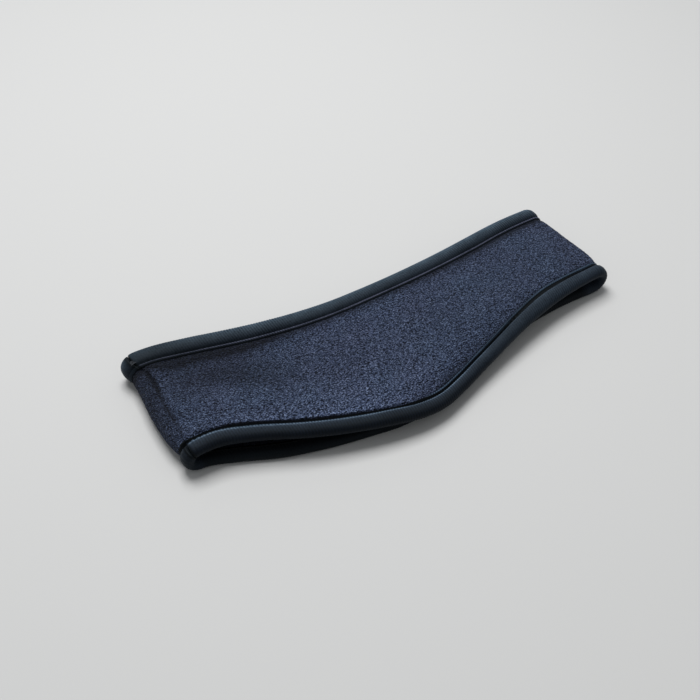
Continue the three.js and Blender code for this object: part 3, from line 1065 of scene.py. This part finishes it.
def fleece_finish():
    material, tree, place = new_material("slate_fleece")
    tuft = fleece_tufts(tree, place)
    fibres = noise(tree, place, FIBRE_SCALE, 3.0, 0.7)["Fac"]
    dye = noise(tree, place, DYE_SCALE, 2.0)["Fac"]
    mixed = number(tree, "MULTIPLY_ADD", fibres, 0.5, tuft)
    level = stretched(tree, number(tree, "MULTIPLY_ADD", dye, 0.1, mixed), *LEVEL_RANGE)
    color = ramp(tree, level, (0.0, PAINTED_PIT_SHADE), (0.5, SLATE), (1.0, PAINTED_TIP_LIGHT))
    # The mark paints light and shade over the fleece's colour.
    painted_light_here = stretched(tree, mark_of(tree, "nap_tone_and_painted_light"), *PAINTED_LIGHT_RANGE)
    color = times(tree, color, ramp(tree, painted_light_here, *PAINTED_LIGHT_STEPS))
    color = times(tree, color, ramp(tree, dye, *DYE_SHADES))
    coarse = add(tree, "ShaderNodeBump", {"Height": tuft, "Strength": 1.0, "Distance": 0.001})
    fine = {"Height": fibres, "Strength": 0.7, "Distance": 0.0002}
    fine["Normal"] = coarse.outputs["Normal"]
    return finish(material, {
        "Base Color": color,
        "Normal": add(tree, "ShaderNodeBump", fine).outputs["Normal"],
        "Roughness": 1.0,
        "Specular IOR Level": 0.15,
        "Sheen Weight": 0.05,
        "Sheen Roughness": 0.6,
        "Sheen Tint": (0.55, 0.65, 0.85, 1),
    })


slate_fleece = fleece_finish()

# %% [markdown]
# The tapes are knitted from smooth yarn, so they have a soft satin light along the roll. The ribs
# are already in the mesh; the material adds the small loops of yarn along each rib, a painted light
# and shade on each rib, and a little unevenness in the dye. An image could be wrapped round, but
# the marks on the mesh do it without one. First come the zones of painted light and shade across
# each
# tape: a painted highlight and shade across the roll, painted shade in the stitched groove, which
# is nearly black, and a painted highlight on the ridge. Each row says where a zone is, as a share
# of the way in from the edge, and how many times brighter than the yarn it is.

# %% Painted light and shade across each tape
# Painted highlights on the roll and the ridge, painted shade in the groove.
TOP_PAINTED_LIGHT = [
    (0.0, (2.9, 2.9, 2.8)), (0.15, (2.15, 2.2, 2.15)), (0.3, (1.5, 1.55, 1.5)),
    (0.45, (1.03, 1.05, 1.03)), (0.6, (0.62, 0.62, 0.65)), (0.78, (0.38, 0.38, 0.41)),
    (0.86, (0.35, 0.35, 0.38)), (0.89, (2.75, 2, 2.15)), (0.92, (2.5, 1.9, 2.05)),
    (0.95, (0.2, 0.2, 0.2)),
]
EAR_PAINTED_LIGHT = [
    (0.0, (0.1, 0.11, 0.15)), (0.18, (0.12, 0.13, 0.17)), (0.3, (0.24, 0.26, 0.31)),
    (0.43, (0.5, 0.52, 0.56)), (0.55, (1.12, 1.12, 1.12)), (0.62, (4.4, 4.4, 4.2)),
    (0.65, (7.8, 7.8, 7.5)), (0.675, (0.06, 0.06, 0.06)), (0.89, (0.04, 0.04, 0.04)),
    (0.91, (2.4, 2.6, 2.8)), (0.95, (2, 2.2, 2.4)), (0.98, (0.3, 0.3, 0.3)),
]
PAINTED_SHADE_STEPS = (0.0, (1, 1, 1)), (0.8, (0.12, 0.12, 0.12))
print("zones across the tapes:", len(TOP_PAINTED_LIGHT), "and", len(EAR_PAINTED_LIGHT))

# %% [markdown]
# Both tapes are the same knit in two dyes, so one recipe makes both finishes. The yarn's own
# pattern and the painted shade of the ribs give the level between the dark and the light of each
# dye, and the painted light of the zones and the painted shade of the creases are multiplied over
# it. Only the yarn goes into the bump. A woven pattern from a brick or wave texture would look more
# regular than a stretched knit does.

# %% The tape finishes
CHARCOAL = (0.004, 0.008, 0.014), (0.036, 0.051, 0.071)
NAVY = (0.004, 0.007, 0.012), (0.03, 0.042, 0.06)
YARN_SCALE = 1500.0
TAPE_DYE_SCALE = 90.0
RIB_PAINTED_SHADE = 0.17
TAPE_RANGE = (0.43, 1.07)


def tape_finish(name, dark, light, painted_zones):
    material, tree, place = new_material(name)
    yarn = noise(tree, place, YARN_SCALE, 2.0, 0.6)["Fac"]
    dye = noise(tree, place, TAPE_DYE_SCALE, 2.0)["Fac"]
    turn = number(tree, "MULTIPLY", mark_of(tree, "along"), 2 * math.pi / RIB_PITCH)
    # Each rib is painted lighter and darker, as its light and shade.
    rib = number(tree, "MULTIPLY", number(tree, "COSINE", turn), mark_of(tree, "ribbing"))
    ribbed = number(tree, "MULTIPLY_ADD", rib, RIB_PAINTED_SHADE, yarn)
    level = stretched(tree, number(tree, "MULTIPLY_ADD", dye, 0.5, ribbed), *TAPE_RANGE)
    color = ramp(tree, level, (0.0, dark), (1.0, light))
    # Painted light and shade across the tape, then painted shade in the creases and under the band.
    across = stretched(tree, mark_of(tree, "inward"), 0.0, TAPE_WIDTH)
    color = times(tree, color, ramp(tree, across, *painted_zones))
    color = times(tree, color, ramp(tree, mark_of(tree, "painted_shade"), *PAINTED_SHADE_STEPS))
    bump = add(tree, "ShaderNodeBump", {"Height": yarn, "Strength": 0.5, "Distance": 0.00012})
    return finish(material, {
        "Base Color": color,
        "Normal": bump.outputs["Normal"],
        "Roughness": 0.62,
        "Specular IOR Level": 0.12,
        "Specular Tint": (0.75, 0.9, 1, 1),
        "Sheen Weight": 0.03,
        "Sheen Roughness": 0.5,
        "Sheen Tint": (0.6, 0.75, 0.85, 1),
    })


charcoal_tape = tape_finish("charcoal_tape", *CHARCOAL, TOP_PAINTED_LIGHT)
navy_tape = tape_finish("navy_tape", *NAVY, EAR_PAINTED_LIGHT)

# %% [markdown]
# Sewing thread is twisted yarn. It could be wound from two plies, but here it is too thin to show
# more than its colour and a trace of its twist, so one noise is enough. The tack across the seam
# is sewn with a paler thread than the two grooves, and its paleness is a painted glint.

# %% The thread finish
TWIST_SCALE = 3500.0
NAVY_THREAD = (0.002, 0.003, 0.005), (0.007, 0.01, 0.016)
# The paler thread is a painted glint on the tack.
PALE_GLINT_THREAD = (0.05, 0.055, 0.065), (0.13, 0.14, 0.16)


def thread_finish(name, dark, light):
    material, tree, place = new_material(name)
    twist = noise(tree, place, TWIST_SCALE, 1.0)["Fac"]
    color = ramp(tree, twist, (0.3, dark), (0.7, light))
    return finish(material, {"Base Color": color, "Roughness": 0.8, "Specular IOR Level": 0.1})


navy_thread = thread_finish("navy_thread", *NAVY_THREAD)
pale_glint_thread = thread_finish("pale_glint_thread", *PALE_GLINT_THREAD)
for piece, material in (
    (fleece, slate_fleece),
    (top_tape, charcoal_tape),
    (ear_tape, navy_tape),
    (top_stitching, navy_thread),
    (ear_stitching, navy_thread),
    (seam_tack, pale_glint_thread),
):
    piece.data.materials.append(material)
print("finishes:", [m.name for m in bpy.data.materials if m.users])

# %% [markdown]
# The table is a plain pale sheet. A curved backdrop is usual in a studio, but a flat sheet that
# runs out of sight on every side looks the same from all round. It lies a hair lower than the
# cloth, so that the two don't flicker where they touch.

# %% The table
TABLE_HALF = 30.0
TABLE_LOWER = 0.00005
TABLE_PALE = (0.54, 0.54, 0.536, 1)


def table_top():
    mesh = bpy.data.meshes.new("table")
    r = TABLE_HALF
    mesh.from_pydata([(-r, -r, 0), (r, -r, 0), (r, r, 0), (-r, r, 0)], [], [(0, 1, 2, 3)])
    table = bpy.data.objects.new("table", mesh)
    table.location.z = -TABLE_LOWER
    bpy.context.collection.objects.link(table)
    material = bpy.data.materials.new("pale_table")
    material.use_nodes = True
    matt = {"Base Color": TABLE_PALE, "Roughness": 0.7, "Specular IOR Level": 0.2}
    mesh.materials.append(finish(material, matt))


table_top()

# %% [markdown]
# Soft light makes cloth look soft. One panel hangs a metre above the table and a little behind
# the band, so that the near edges fall into shade. The rest of the room gives an even light from
# pale walls, which darken towards the floor so that the far end of the table melts into them. An
# image of a studio would light it too, but a plain ramp leaves no patches of its own.

# %% The lights
WALLS = (0.0, (0.19, 0.196, 0.2)), (0.2, (0.342, 0.353, 0.36))


def panel(name, location, aim, size, power):
    data = bpy.data.lights.new(name, "AREA")
    data.shape = "RECTANGLE"
    data.size, data.size_y = size
    data.energy = power
    lamp = bpy.data.objects.new(name, data)
    lamp.location = location
    lamp.rotation_euler = (Vector(aim) - Vector(location)).to_track_quat("-Z", "Y").to_euler()
    lamp.visible_camera = False
    bpy.context.collection.objects.link(lamp)
    print(name, "hangs", location[2], "m up and gives", power, "W")


panel("key_panel", location=(0.04, 0.39, 1.07), aim=(0, 0, 0), size=(0.65, 0.65), power=13.8)
world = bpy.data.worlds.new("room")
world.use_nodes = True
room = world.node_tree
way = add(room, "ShaderNodeTexCoord", {}).outputs["Generated"]
height = add(room, "ShaderNodeSeparateXYZ", {"Vector": way}).outputs["Z"]
wire(room, room.nodes["Background"], {"Color": ramp(room, height, *WALLS)})
bpy.context.scene.world = world
bpy.context.scene.view_settings.view_transform = "Standard"

# %% [markdown]
# Now each piece is tied to the frame: it rides on the root, and the plain solid that it stands for
# is hidden. The fleece isn't cut as a rectangle, so the width of its cut strip is worked out along
# the loop rather than taken from its two sides. The stitches have no solid of their own, and go
# with the tape that they hold.

# %% Tie the pieces to the frame
strip_width = band_width(np.linspace(0, LOOP, 400)) + TAPE_WIDTH - 2 * TAPE_INSET
for piece, node, slot in (
    (fleece, "fleece_band", "fleece"),
    (top_tape, "top_binding", "top_tape"),
    (ear_tape, "ear_binding", "ear_tape"),
    (top_stitching, None, "top_tape"),
    (ear_stitching, None, "ear_tape"),
    (seam_tack, None, "top_tape"),
):
    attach(piece, "root")
    if node:
        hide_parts(node)

# %% [markdown]
# The last step brings the scene up to date. Soft edges may stand a little proud of the solids, but
# only a little.

# %% Bring the scene up to date
bpy.context.view_layer.update()
